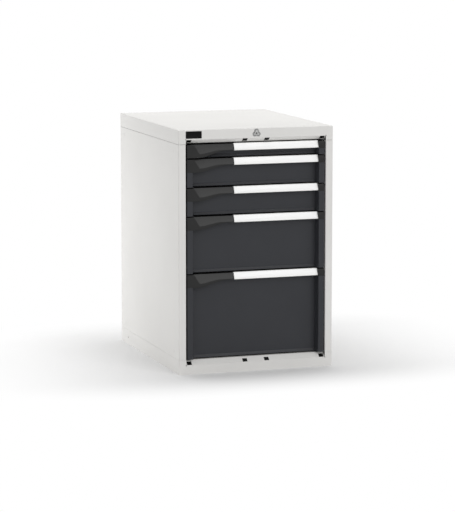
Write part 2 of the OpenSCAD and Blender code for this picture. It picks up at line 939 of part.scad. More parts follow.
// Moulded cap over the top of the right column
module drawer_end_cap(n) {
    color(grip_colour)
        difference() {
            block([strip_right, -hd, front_top(n) - cap_h], [front_hw, -hd + recess_d, front_top(n)]);
            block(
                [strip_right + grip_wall, -hd + grip_wall, front_top(n) - cap_h + grip_wall],
                [front_hw - grip_wall, -hd + recess_d + eps, front_top(n) - grip_wall]
            );
        }
}

// Rails on both sides of the tray
module drawer_slide_rails(n) {
    color(zinc_colour)
        both_sides()
            along_y(panel_back, tray_back)
                translate([tray_hw, foot_z(n) + slide_z])
                    rail_section();
}

// Carriage bars between the rails, with the roller pins
module drawer_carriages(n) {
    z = foot_z(n) + slide_z;
    color(dark_steel_colour)
        both_sides() {
            block(
                [carriage_in, carriage_y[0], z - carriage_h / 2],
                [carriage_out, carriage_y[1], z + carriage_h / 2]
            );
            for (y = roller_y[0])
                rod_x(roller_x[0], carriage_in + eps, y, z, pin_d);
            for (y = roller_y[1])
                rod_x(carriage_out - eps, roller_x[1] + roller_w, y, z, pin_d);
        }
}

// Rollers on the carriages: inner ones in the tray's rails, outer ones in the cabinet's rails
module drawer_rollers(n) {
    color(label_colour)
        both_sides()
            for (row = [0, 1], y = roller_y[row])
                difference() {
                    rod_x(roller_x[row], roller_x[row] + roller_w, y, foot_z(n) + slide_z, roller_d);
                    rod_x(roller_x[row] - eps, roller_x[row] + roller_w + eps, y, foot_z(n) + slide_z,
                        pin_d + 2 * roll_gap);
                }
}

side_panel_left();
side_panel_right();
back_panel();
base_frame();
base_sides();
top_cover();
uprights();
cabinet_rails_left();
cabinet_rails_right();
side_plugs();
name_plate();
lock_housing();
lock_plug();
lock_shaft();
lock_bar();
for (n = [1 : drawer_count]) {
    drawer_front(n);
    drawer_tray(n);
    drawer_handle(n);
    drawer_label(n);
    drawer_grip(n);
    drawer_end_cap(n);
    drawer_slide_rails(n);
    drawer_carriages(n);
    drawer_rollers(n);
}
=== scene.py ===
"""Looks of the workshop drawer cabinet: finishes, moulded and folded pieces, studio and camera.

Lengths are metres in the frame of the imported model: +Z is up and the drawers open towards -Y.
"""

import json
import logging
import math
from collections.abc import Iterator
from contextlib import contextmanager
from dataclasses import dataclass
from enum import Enum
from functools import cache

import bmesh
import bpy
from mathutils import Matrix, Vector


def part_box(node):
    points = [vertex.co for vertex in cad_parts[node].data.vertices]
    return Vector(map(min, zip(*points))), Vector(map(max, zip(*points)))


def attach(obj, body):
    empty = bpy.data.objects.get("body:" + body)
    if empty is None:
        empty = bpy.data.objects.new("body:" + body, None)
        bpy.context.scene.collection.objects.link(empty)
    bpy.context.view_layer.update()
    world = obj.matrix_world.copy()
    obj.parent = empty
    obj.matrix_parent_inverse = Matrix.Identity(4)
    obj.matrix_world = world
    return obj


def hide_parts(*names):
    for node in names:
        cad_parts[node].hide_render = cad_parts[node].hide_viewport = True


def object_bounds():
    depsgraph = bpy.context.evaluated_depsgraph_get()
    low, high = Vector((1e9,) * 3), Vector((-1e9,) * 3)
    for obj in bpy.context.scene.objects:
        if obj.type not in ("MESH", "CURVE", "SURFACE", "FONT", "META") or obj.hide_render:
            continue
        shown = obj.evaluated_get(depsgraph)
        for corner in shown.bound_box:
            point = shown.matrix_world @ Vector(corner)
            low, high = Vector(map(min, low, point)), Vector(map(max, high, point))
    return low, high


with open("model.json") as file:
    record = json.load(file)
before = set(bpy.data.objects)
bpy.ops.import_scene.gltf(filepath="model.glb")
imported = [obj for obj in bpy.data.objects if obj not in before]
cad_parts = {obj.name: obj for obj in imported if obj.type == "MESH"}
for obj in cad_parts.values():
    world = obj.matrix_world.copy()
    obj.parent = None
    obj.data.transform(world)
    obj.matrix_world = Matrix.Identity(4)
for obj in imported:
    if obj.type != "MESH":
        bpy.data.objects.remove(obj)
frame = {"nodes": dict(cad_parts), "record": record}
cad_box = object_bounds()

log = logging.getLogger("cabinet")

Colour = tuple[float, float, float]
Point = tuple[float, float, float] | Vector
Piece = bpy.types.Object
Node = bpy.types.Node
Tree = bpy.types.NodeTree
Socket = bpy.types.NodeSocket

NEAR = 1e-5
MARGIN = 0.01
EVERYWHERE = (Vector((-9.0, -9.0, -9.0)), Vector((9.0, 9.0, 9.0)))
RIGHT = Vector((1.0, 0.0, 0.0))
BACK = Vector((0.0, 1.0, 0.0))
UP = Vector((0.0, 0.0, 1.0))
SMOOTH_ANGLE = math.radians(32.0)
FLAT_ANGLE = math.radians(0.2)
EDGE_MATCH = 0.99
FACE_MATCH = 0.8


class Slot(Enum):
    """Material slots of the record."""

    CASING = "casing_paint"
    CASING_PLASTIC = "casing_paint_plastic"
    FRONT = "front_paint"
    HANDLE = "handle_white"
    LABEL = "label_white"
    GRIP = "grip_black"
    ZINC = "zinc_steel"
    DARK_STEEL = "dark_steel"
    NYLON = "roller_nylon"
    NICKEL = "lock_chrome"
    PLATE = "plate_black"


class Part(Enum):
    """Mesh elements that a selection can hold."""

    VERT = "VERT"
    EDGE = "EDGE"
    FACE = "FACE"


class Axis(Enum):
    """Directions in which round pieces lie, as turns from +Z."""

    X = (0.0, math.pi / 2, 0.0)
    Y = (math.pi / 2, 0.0, 0.0)


def ease(t: float) -> float:
    """Smooth step from 0 to 1 as t goes from 0 to 1."""
    t = min(1.0, max(0.0, t))
    return t * t * (3.0 - 2.0 * t)


class Bench:
    """Modelling bench: pieces are shaped here with Blender's own operators."""

    @staticmethod
    def take(piece: Piece | None = None) -> None:
        """Deselects everything, then selects one piece and makes it active.

        Args:
            piece: The piece to work on, or None to leave nothing selected.
        """
        bpy.ops.object.select_all(action="DESELECT")
        bpy.context.view_layer.objects.active = piece
        if piece is not None:
            piece.select_set(True)

    @staticmethod
    def settle(name: str) -> Piece:
        """Names the active object and puts its place into its mesh.

        Args:
            name: Name of the piece and of its mesh.

        Returns:
            The active object.
        """
        piece = bpy.context.object
        piece.name = piece.data.name = name
        bpy.ops.object.transform_apply(location=True, rotation=True, scale=True)
        return piece

    @staticmethod
    def block(name: str, low: Point, high: Point) -> Piece:
        """Adds a box between two corners.

        Args:
            name: Name of the piece.
            low: Lowest corner.
            high: Highest corner.

        Returns:
            The box.
        """
        Bench.take()
        low, high = Vector(low), Vector(high)
        bpy.ops.mesh.primitive_cube_add(size=1.0, location=(low + high) / 2)
        bpy.context.object.scale = high - low
        return Bench.settle(name)

    @staticmethod
    def sheet(name: str, middle: Point, size: tuple[float, float],
              upright: bool = False) -> Piece:
        """Adds a flat sheet without thickness.

        Args:
            name: Name of the piece.
            middle: Middle of the sheet.
            size: Width along X, and depth along Y or height along Z.
            upright: Whether it stands facing -Y instead of lying flat.

        Returns:
            The sheet.
        """
        Bench.take()
        turn = Axis.Y.value if upright else (0.0, 0.0, 0.0)
        bpy.ops.mesh.primitive_plane_add(size=1.0, location=middle, rotation=turn)
        bpy.context.object.scale = (*size, 1.0)
        return Bench.settle(name)

    @staticmethod
    def drum(name: str, start: Point, length: float, radius: float, axis: Axis,
             sides: int = 48) -> Piece:
        """Adds a round bar that runs from a point along X or Y.

        Args:
            name: Name of the piece.
            start: Middle of the end with the lower coordinate.
            length: Length along the axis.
            radius: Radius of the bar.
            axis: Direction of the bar.
            sides: Number of sides.

        Returns:
            The bar.
        """
        Bench.take()
        middle = Vector(start) + (RIGHT if axis is Axis.X else BACK) * length / 2
        bpy.ops.mesh.primitive_cylinder_add(
            vertices=sides, radius=radius, depth=length, location=middle, rotation=axis.value)
        return Bench.settle(name)

    @staticmethod
    @contextmanager
    def edit(piece: Piece, part: Part) -> Iterator[None]:
        """Opens a piece in edit mode with nothing selected.

        Args:
            piece: The piece to edit.
            part: The kind of element to select.
        """
        Bench.take(piece)
        bpy.ops.object.mode_set(mode="EDIT")
        bpy.ops.mesh.select_mode(type=part.value)
        bpy.ops.mesh.select_all(action="DESELECT")
        yield
        bpy.ops.object.mode_set(mode="OBJECT")

    @staticmethod
    def pick(piece: Piece, part: Part, low: Point = EVERYWHERE[0],
             high: Point = EVERYWHERE[1], along: Vector | None = None) -> None:
        """Selects only the elements with a place and direction, in edit mode.

        Args:
            piece: The piece in edit mode.
            part: The kind of element to select.
            low: Lowest corner of the box that holds the elements' middles.
            high: Highest corner of that box.
            along: Direction of the edges, or normal of the faces.
        """
        bpy.ops.mesh.select_all(action="DESELECT")
        mesh = bmesh.from_edit_mesh(piece.data)
        mesh.normal_update()
        for item in {Part.VERT: mesh.verts, Part.EDGE: mesh.edges, Part.FACE: mesh.faces}[part]:
            if part is Part.VERT:
                middle, way = item.co, None
            elif part is Part.EDGE:
                ends = [v.co for v in item.verts]
                middle, way = (ends[0] + ends[1]) / 2, (ends[1] - ends[0]).normalized()
            else:
                middle, way = item.calc_center_median(), item.normal
            inside = all(a - NEAR <= m <= b + NEAR for a, m, b in zip(low, middle, high))
            agrees = along is None or way is None or (
                abs(way.dot(along)) > EDGE_MATCH if part is Part.EDGE else way.dot(along) > FACE_MATCH)
            if inside and agrees:
                item.select_set(True)
        mesh.select_flush_mode()
        bmesh.update_edit_mesh(piece.data)

    @staticmethod
    def shift(piece: Piece, low: Point, high: Point, by: Point) -> None:
        """Moves the vertices between two corners, in edit mode."""
        Bench.pick(piece, Part.VERT, low, high)
        bpy.ops.transform.translate(value=by)

    @staticmethod
    def pull(by: Point) -> None:
        """Extrudes the selected faces by a distance, in edit mode."""
        bpy.ops.mesh.extrude_region_move(TRANSFORM_OT_translate={"value": by})

    @staticmethod
    def face_out() -> None:
        """Selects everything and turns the faces outwards, in edit mode."""
        bpy.ops.mesh.select_all(action="SELECT")
        bpy.ops.mesh.normals_make_consistent(inside=False)

    @staticmethod
    def score(point: Point, normal: Point, drop: bool = False) -> None:
        """Cuts everything with a plane, in edit mode.

        Args:
            point: A point in the plane.
            normal: Direction of the plane.
            drop: Whether what lies on the normal's side is dropped and the cut closed.
        """
        bpy.ops.mesh.select_all(action="SELECT")
        bpy.ops.mesh.bisect(plane_co=point, plane_no=Vector(normal).normalized(),
                            use_fill=drop, clear_outer=drop)

    @staticmethod
    def slice(piece: Piece, point: Point, normal: Point) -> None:
        """Cuts off what lies on the normal's side of a plane and closes the piece."""
        with Bench.edit(piece, Part.FACE):
            Bench.score(point, normal, drop=True)

    @staticmethod
    def recess(piece: Piece, along: Vector, rim: float, out: float) -> None:
        """Leaves a rim round a face and pulls out or sinks what it encloses.

        Args:
            piece: The piece to change.
            along: Normal of the face.
            rim: Width of the rim.
            out: How far the enclosed face is pulled along the normal, less than 0 to sink it.
        """
        with Bench.edit(piece, Part.FACE):
            Bench.pick(piece, Part.FACE, along=along)
            bpy.ops.mesh.inset(thickness=rim)
            Bench.pull(along * out)

    @staticmethod
    def round_corners(piece: Piece, along: Vector, radius: float, segments: int) -> None:
        """Rounds the corners of a plate whose edges run in a direction.

        Args:
            piece: The plate.
            along: Direction of the edges.
            radius: Radius of the corners.
            segments: Number of faces across a corner.
        """
        with Bench.edit(piece, Part.EDGE):
            Bench.pick(piece, Part.EDGE, along=along)
            bpy.ops.mesh.bevel(offset=radius, segments=segments, affect="EDGES")

    @staticmethod
    def finish_with(piece: Piece, kind: str, **settings: object) -> None:
        """Adds a modifier to a piece and applies it.

        Args:
            piece: The piece to change.
            kind: Blender's name of the modifier type.
            settings: Values set on the modifier.
        """
        Bench.take(piece)
        modifier = piece.modifiers.new(kind.lower(), kind)
        for key, value in settings.items():
            setattr(modifier, key, value)
        bpy.ops.object.modifier_apply(modifier=modifier.name)

    @staticmethod
    def combine(piece: Piece, tool: Piece, operation: str = "DIFFERENCE") -> None:
        """Cuts a tool out of a piece, or does another boolean operation, and removes the tool."""
        Bench.finish_with(piece, "BOOLEAN", operation=operation, object=tool, solver="EXACT")
        bpy.data.objects.remove(tool)

    @staticmethod
    def clean(piece: Piece) -> None:
        """Merges doubled vertices, joins flat neighbours and turns the faces outwards.

        Args:
            piece: The piece to clean.
        """
        with Bench.edit(piece, Part.VERT):
            bpy.ops.mesh.select_all(action="SELECT")
            bpy.ops.mesh.remove_doubles(threshold=NEAR)
            bpy.ops.mesh.dissolve_limited(angle_limit=FLAT_ANGLE)
            Bench.face_out()

    @staticmethod
    def round_edges(piece: Piece, radius: float, segments: int = 3,
                    angle: float = SMOOTH_ANGLE) -> None:
        """Rounds the sharp edges of a piece and smooths its shading.

        Args:
            piece: The piece to round.
            radius: Width of the rounding.
            segments: Number of faces across the rounding.
            angle: Edges that bend by more than this are rounded.
        """
        Bench.finish_with(piece, "BEVEL", width=radius, segments=segments,
                          limit_method="ANGLE", angle_limit=angle)
        Bench.take(piece)
        bpy.ops.object.shade_smooth_by_angle(angle=min(angle, SMOOTH_ANGLE))

    @staticmethod
    def copy(piece: Piece, name: str, by: Point, turn: float = 0.0) -> Piece:
        """Copies a piece with a mesh of its own.

        Args:
            piece: The piece to copy.
            name: Name of the copy.
            by: How far the copy is moved.
            turn: Angle by which the copy is turned about the upright axis first.

        Returns:
            The copy.
        """
        Bench.take(piece)
        bpy.ops.object.duplicate(linked=False)
        twin = bpy.context.object
        twin.rotation_euler.z = turn
        twin.location = by
        return Bench.settle(name)

    @staticmethod
    def join(name: str, pieces: list[Piece]) -> Piece:
        """Joins pieces into one object.

        Args:
            name: Name of the joined piece.
            pieces: The pieces to join.

        Returns:
            The joined piece.
        """
        Bench.take(pieces[0])
        for piece in pieces[1:]:
            piece.select_set(True)
        bpy.ops.object.join()
        return Bench.settle(name)


class Wiring:
    """Adds and links the nodes of one shader tree."""

    def __init__(self, tree: Tree) -> None:
        """Starts on a tree."""
        self.tree = tree

    def node(self, kind: str, sockets: dict[str | int, object] | None = None,
             **settings: object) -> Node:
        """Adds a node, and sets or links its inputs.

        Args:
            kind: Blender's name of the node type without its ShaderNode prefix.
            sockets: Values or source sockets by input name or number.
            settings: Values set on the node itself.

        Returns:
            The node.
        """
        made = self.tree.nodes.new("ShaderNode" + kind)
        for key, value in settings.items():
            setattr(made, key, value)
        for key, value in (sockets or {}).items():
            if isinstance(value, Socket):
                self.tree.links.new(value, made.inputs[key])
            else:
                made.inputs[key].default_value = value
        return made

    def places(self) -> Socket:
        """Object coordinates of the surface."""
        return self.node("TexCoord").outputs["Object"]

    def between(self, share: Socket, low: float, high: float) -> Socket:
        """Spreads a share from 0 to 1 over a range."""
        return self.node("MapRange", {"Value": share, "To Min": low, "To Max": high}).outputs["Result"]

    def blend(self, share: Socket, low: object, high: object) -> Socket:
        """Mixes two colours by a share from 0 to 1."""
        return self.node("Mix", {0: share, 6: low, 7: high}, data_type="RGBA").outputs[2]

    def number(self, operation: str, *terms: object) -> Socket:
        """Works a number out of numbers or sockets."""
        return self.node("Math", dict(enumerate(terms)), operation=operation).outputs[0]

    def vector(self, operation: str, *terms: object) -> Socket:
        """Works a vector out of vectors or sockets."""
        return self.node("VectorMath", dict(enumerate(terms)), operation=operation).outputs[0]

    def put_out(self, **results: Socket) -> Tree:
        """Ends a node group with an output for each result.

        Args:
            results: Socket that feeds each output, by the output's name.

        Returns:
            The group.
        """
        for label, source in results.items():
            kind = "NodeSocketColor" if source.type == "RGBA" else "NodeSocketFloat"
            self.tree.interface.new_socket(label, in_out="OUTPUT", socket_type=kind)
        sink = self.tree.nodes.new("NodeGroupOutput")
        for label, source in results.items():
            self.tree.links.new(source, sink.inputs[label])
        return self.tree


class Effects:
    """Shader node groups that several finishes share, each built once.

    Attributes:
        CONTRAST: Shares of the two tones at the ends of the noise.
        WARP: How far the edges of the crystals are bent.
        STRETCH: Scale that stretches noise into level lines.
    """

    CONTRAST = (-0.6, 1.6)
    WARP = (0.012, 0.012, 0.012)
    STRETCH = (0.04, 0.04, 1.0)

    @staticmethod
    def start(name: str, **inputs: str) -> tuple[Wiring, bpy.types.NodeOutputs]:
        """Starts a group.

        Args:
            name: Name of the group.
            inputs: Socket type of each input, by the input's name.

        Returns:
            The group's wiring and the sockets of its inputs.
        """
        tree = bpy.data.node_groups.new(name, "ShaderNodeTree")
        for label, kind in inputs.items():
            tree.interface.new_socket(label, in_out="INPUT", socket_type="NodeSocket" + kind)
        return Wiring(tree), tree.nodes.new("NodeGroupInput").outputs

    @staticmethod
    @cache
    def tone_drift() -> Tree:
        """Slow drift between two close tones.

        Returns:
            Group with inputs Low, High and Scale and output Colour.
        """
        wires, given = Effects.start("tone_drift", Low="Color", High="Color", Scale="Float")
        cloud = wires.node("TexNoise", {"Vector": wires.places(), "Scale": given["Scale"],
                                        "Detail": 3.0, "Roughness": 0.55})
        share = wires.between(cloud.outputs[0], *Effects.CONTRAST)
        return wires.put_out(Colour=wires.blend(share, given["Low"], given["High"]))

    @staticmethod
    @cache
    def fine_grain() -> Tree:
        """Fine pebbled grain of powder coats and mouldings.

        Returns:
            Group with input Scale and outputs Height and Share.
        """
        wires, given = Effects.start("fine_grain", Scale="Float")
        place = wires.places()
        cells = wires.node("TexVoronoi", {"Vector": place, "Scale": given["Scale"], "Smoothness": 0.8},
                           feature="SMOOTH_F1")
        specks = wires.node("TexNoise", {"Vector": place, "Scale": given["Scale"], "Detail": 2.0}).outputs[0]
        return wires.put_out(Height=wires.number("SUBTRACT", specks, cells.outputs["Distance"]), Share=specks)

    @staticmethod
    @cache
    def spangle() -> Tree:
        """Crystal pattern of zinc-plated sheet.

        Returns:
            Group with inputs Low, High and Scale and outputs Colour and Share.
        """
        wires, given = Effects.start("spangle", Low="Color", High="Color", Scale="Float")
        warp = wires.node("TexNoise", {"Vector": wires.places(), "Scale": given["Scale"], "Detail": 2.0})
        moved = wires.vector("MULTIPLY", warp.outputs["Color"], Effects.WARP)
        place = wires.vector("ADD", wires.places(), moved)
        cells = wires.node("TexVoronoi", {"Vector": place, "Scale": given["Scale"]})
        share = wires.node("SeparateColor", {0: cells.outputs["Color"]}).outputs[0]
        return wires.put_out(Colour=wires.blend(share, given["Low"], given["High"]), Share=share)

    @staticmethod
    @cache
    def drawn_lines() -> Tree:
        """Fine level lines left by drawing or brushing.

        Returns:
            Group with input Scale and output Share.
        """
        wires, given = Effects.start("drawn_lines", Scale="Float")
        stretched = wires.node("Mapping", {"Vector": wires.places(), "Scale": Effects.STRETCH})
        lines = wires.node("TexNoise", {"Vector": stretched.outputs[0], "Scale": given["Scale"],
                                        "Detail": 3.0, "Roughness": 0.6})
        return wires.put_out(Share=lines.outputs[0])


@dataclass(frozen=True)
class Finish:
    """Painted or moulded surface with a fine grain and a slow drift of tone.

    Attributes:
        slot: Material slot of the record that takes this finish.
        low: Darker tone.
        high: Lighter tone.
        roughness: Least and greatest roughness.
        drift: Size of the patches over which the tone drifts.
        grain: Size of the grain.
        depth: Height of the grain.
        specular: Strength of the surface reflection.
        metallic: 1 for bare metal, 0 for paint and plastic.
    """

    slot: Slot
    low: Colour
    high: Colour
    roughness: tuple[float, float]
    drift: float = 0.20
    grain: float = 0.0012
    depth: float = 0.00004
    specular: float = 0.5
    metallic: float = 0.0

    def pattern(self, wires: Wiring) -> tuple[Socket, Socket, Socket]:
        """Wires what changes over the surface.

        Args:
            wires: Wiring of the material.

        Returns:
            Sockets with the colour, the roughness and the height of the surface.
        """
        tone = wires.node("Group", self.tones(), node_tree=Effects.tone_drift())
        grain = wires.node("Group", {"Scale": 1.0 / self.grain}, node_tree=Effects.fine_grain())
        rough = wires.between(grain.outputs["Share"], *self.roughness)
        return tone.outputs["Colour"], rough, grain.outputs["Height"]

    def tones(self) -> dict[str, object]:
        """Inputs of a group that spreads the two tones over patches."""
        return {"Low": (*self.low, 1.0), "High": (*self.high, 1.0), "Scale": 1.0 / self.drift}

    @cache
    def material(self) -> bpy.types.Material:
        """Makes the material the first time it is asked for.

        Returns:
            The material.
        """
        made = bpy.data.materials.new(self.slot.value + "_finish")
        made.use_nodes = True
        wires = Wiring(made.node_tree)
        shader = made.node_tree.nodes["Principled BSDF"]
        colour, rough, height = self.pattern(wires)
        bump = wires.node("Bump", {"Height": height, "Distance": self.depth, "Strength": 1.0})
        for socket, source in (("Base Color", colour), ("Roughness", rough), ("Normal", bump.outputs[0])):
            wires.tree.links.new(source, shader.inputs[socket])
        shader.inputs["Metallic"].default_value = self.metallic
        shader.inputs["Specular IOR Level"].default_value = self.specular
        return made


@dataclass(frozen=True)
class LedgeHighlightPaint(Finish):
    """Paint of the drawer fronts with a painted highlight: a lighter tone laid on the ledges at their feet.

    Attributes:
        ledge_highlight: Lighter tone of the painted highlight on the ledges.
        ledge_reach: Nearest and farthest distance of the ledges from the cabinet's middle along Y.
        ledge_half: Half the length of the ledges.
    """

    # Painted highlight: the ledges take this lighter tone in place of the light they catch.
    ledge_highlight: Colour = (0.05, 0.0518, 0.0565)
    ledge_reach: tuple[float, float] = (0.3330, 0.3418)
    ledge_half: float = 0.2215

    def pattern(self, wires: Wiring) -> tuple[Socket, Socket, Socket]:
        """Wires the paint's drift and grain, and lays the painted highlight over its ledges.

        Args:
            wires: Wiring of the material.

        Returns:
            Sockets with the colour, the roughness and the height of the surface.
        """
        colour, rough, height = super().pattern(wires)
        # Painted highlight: a box round the ledges picks where the paint turns to the lighter ledge tone.
        reach = wires.node("SeparateXYZ", {0: wires.vector("ABSOLUTE", wires.places())}).outputs
        past = wires.number("GREATER_THAN", reach["Y"], self.ledge_reach[0])
        short = wires.number("LESS_THAN", reach["Y"], self.ledge_reach[1])
        inside = wires.number("LESS_THAN", reach["X"], self.ledge_half)
        ledge = wires.number("MULTIPLY", wires.number("MULTIPLY", past, short), inside)
        return wires.blend(ledge, colour, (*self.ledge_highlight, 1.0)), rough, height


@dataclass(frozen=True)
class ZincSheet(Finish):
    """Zinc-plated sheet with its spangle."""

    def pattern(self, wires: Wiring) -> tuple[Socket, Socket, Socket]:
        """Wires the spangle's tones, gloss and fine waviness.

        Args:
            wires: Wiring of the material.

        Returns:
            Sockets with the colour, the roughness and the height of the surface.
        """
        crystals = wires.node("Group", self.tones(), node_tree=Effects.spangle())
        grain = wires.node("Group", {"Scale": 1.0 / self.grain}, node_tree=Effects.fine_grain())
        rough = wires.between(crystals.outputs["Share"], *self.roughness)
        return crystals.outputs["Colour"], rough, grain.outputs["Share"]


@dataclass(frozen=True)
class DrawnMetal(Finish):
    """Bare metal with the fine lines of drawing or brushing."""

    def pattern(self, wires: Wiring) -> tuple[Socket, Socket, Socket]:
        """Wires the tone and the lines.

        Args:
            wires: Wiring of the material.

        Returns:
            Sockets with the colour, the roughness and the height of the surface.
        """
        tone = wires.node("Group", self.tones(), node_tree=Effects.tone_drift())
        lines = wires.node("Group", {"Scale": 1.0 / self.grain}, node_tree=Effects.drawn_lines())
        rough = wires.between(lines.outputs["Share"], *self.roughness)
        return tone.outputs["Colour"], rough, lines.outputs["Share"]


FINISHES: dict[Slot, Finish] = {
    finish.slot: finish
    for finish in (
        Finish(Slot.CASING, (0.665, 0.658, 0.642), (0.695, 0.688, 0.672), (0.56, 0.66), drift=0.35,
               grain=0.0011, depth=0.00003, specular=0.1),
        Finish(Slot.CASING_PLASTIC, (0.64, 0.633, 0.617), (0.67, 0.663, 0.647), (0.56, 0.66), drift=0.02,
               grain=0.0006, depth=0.00003, specular=0.1),
        LedgeHighlightPaint(Slot.FRONT, (0.0262, 0.0275, 0.032), (0.0288, 0.0302, 0.035), (0.38, 0.5), drift=0.16,
                    grain=0.001, depth=0.00004, specular=0.25),
        Finish(Slot.HANDLE, (0.88, 0.88, 0.87), (0.90, 0.90, 0.89), (0.32, 0.4), drift=0.10,
               grain=0.0016, depth=0.000005),
        Finish(Slot.LABEL, (0.95, 0.95, 0.945), (0.97, 0.97, 0.965), (0.42, 0.5), drift=0.05,
               grain=0.0005, depth=0.000003),
        Finish(Slot.GRIP, (0.0072, 0.0072, 0.0072), (0.0086, 0.0086, 0.0086), (0.34, 0.44), drift=0.04,
               grain=0.0007, depth=0.00003, specular=0.3),
        ZincSheet(Slot.ZINC, (0.43, 0.44, 0.45), (0.56, 0.57, 0.58), (0.36, 0.52), drift=0.009,
                  grain=0.004, depth=0.00002, metallic=1.0),
        DrawnMetal(Slot.DARK_STEEL, (0.12, 0.122, 0.125), (0.18, 0.182, 0.185), (0.30, 0.45), drift=0.03,
                   grain=0.0006, depth=0.00002, metallic=1.0),
        Finish(Slot.NYLON, (0.72, 0.71, 0.66), (0.80, 0.79, 0.74), (0.35, 0.45), drift=0.006,
               grain=0.0009, depth=0.00002),
        DrawnMetal(Slot.NICKEL, (0.37, 0.37, 0.365), (0.45, 0.45, 0.445), (0.30, 0.42), drift=0.01,
                   grain=0.0004, depth=0.00001, metallic=1.0),
        Finish(Slot.PLATE, (0.0035, 0.0035, 0.0035), (0.0045, 0.0045, 0.0045), (0.34, 0.42), drift=0.02,
               grain=0.0008, depth=0.00002, specular=0.08),
    )
}


def dress(piece: Piece, slot: Slot) -> None:
    """Gives a piece or a CAD node the finish of a slot."""
    piece.data.materials.clear()
    piece.data.materials.append(FINISHES[slot].material())


def place(piece: Piece, body: str, node: str | None, slot: Slot) -> Piece:
    """Dresses a finished piece and lets it ride on a body.

    Args:
        piece: The finished piece.
        body: Body that it moves with.
        node: CAD node that it stands for, or None for trim of its own.
        slot: Slot whose finish it takes.

    Returns:
        The piece.
    """
    dress(piece, slot)
    if node is not None:
        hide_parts(node)
    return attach(piece, body)


@dataclass
class PaintedSlotShades:
    """Black pieces in the hinge slots of one fold of the casing: painted shade that makes the slots show as
    dark holes.

    Attributes:
        name: Name of the joined painted slot shades.
        depth: Depth of the slots' middles behind the casing's front.
        height: Height of the slots' middles.
        slope: Angle in degrees from facing up, over the front, to the fold's visible face.
        length: Length of a painted slot shade along the slope.
        width: Width of a painted slot shade.
        places: Distances of the slots from the middle of the casing.
        flange: Thickness of the flange that lies on the fold.
        lap: How far the flange laps over the fold.
        neck: Length of the neck through the sheet.
        wall: Wall round the hollow.
        hollow: Depth of the hollow.
    """

    name: str
    depth: float
    height: float
    slope: float
    length: float
    width: float = 0.0172
    places: tuple[float, ...] = (-0.2435, -0.040, 0.040, 0.2435)
    flange: float = 0.0003
    lap: float = 0.0013
    neck: float = 0.0014
    wall: float = 0.001
    hollow: float = 0.0013

    def build(self) -> Piece:
        """Models one painted slot shade lying flat, tilts it to the fold and copies it to all its places.

        Returns:
            The joined painted slot shades.
        """
        # Painted shade: a black piece fills each slot so that it shows as a dark hole.
        half = Vector((self.width / 2, self.length / 2, 0.0))
        painted_slot_shade = Bench.block("painted_slot_shade_master", -half, half + UP * self.flange)
        Bench.recess(painted_slot_shade, -UP, self.lap, self.neck)
        Bench.recess(painted_slot_shade, UP, self.lap + self.wall, -self.hollow)
        Bench.round_edges(painted_slot_shade, self.flange / 3, segments=2)
        painted_slot_shade.rotation_euler.x = math.radians(self.slope)
        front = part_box("name_plate")[1].y
        pieces = [Bench.copy(painted_slot_shade, "painted_slot_shade", (x, front + self.depth, self.height)) for x in self.places]
        bpy.data.objects.remove(painted_slot_shade)
        return Bench.join(self.name, pieces)


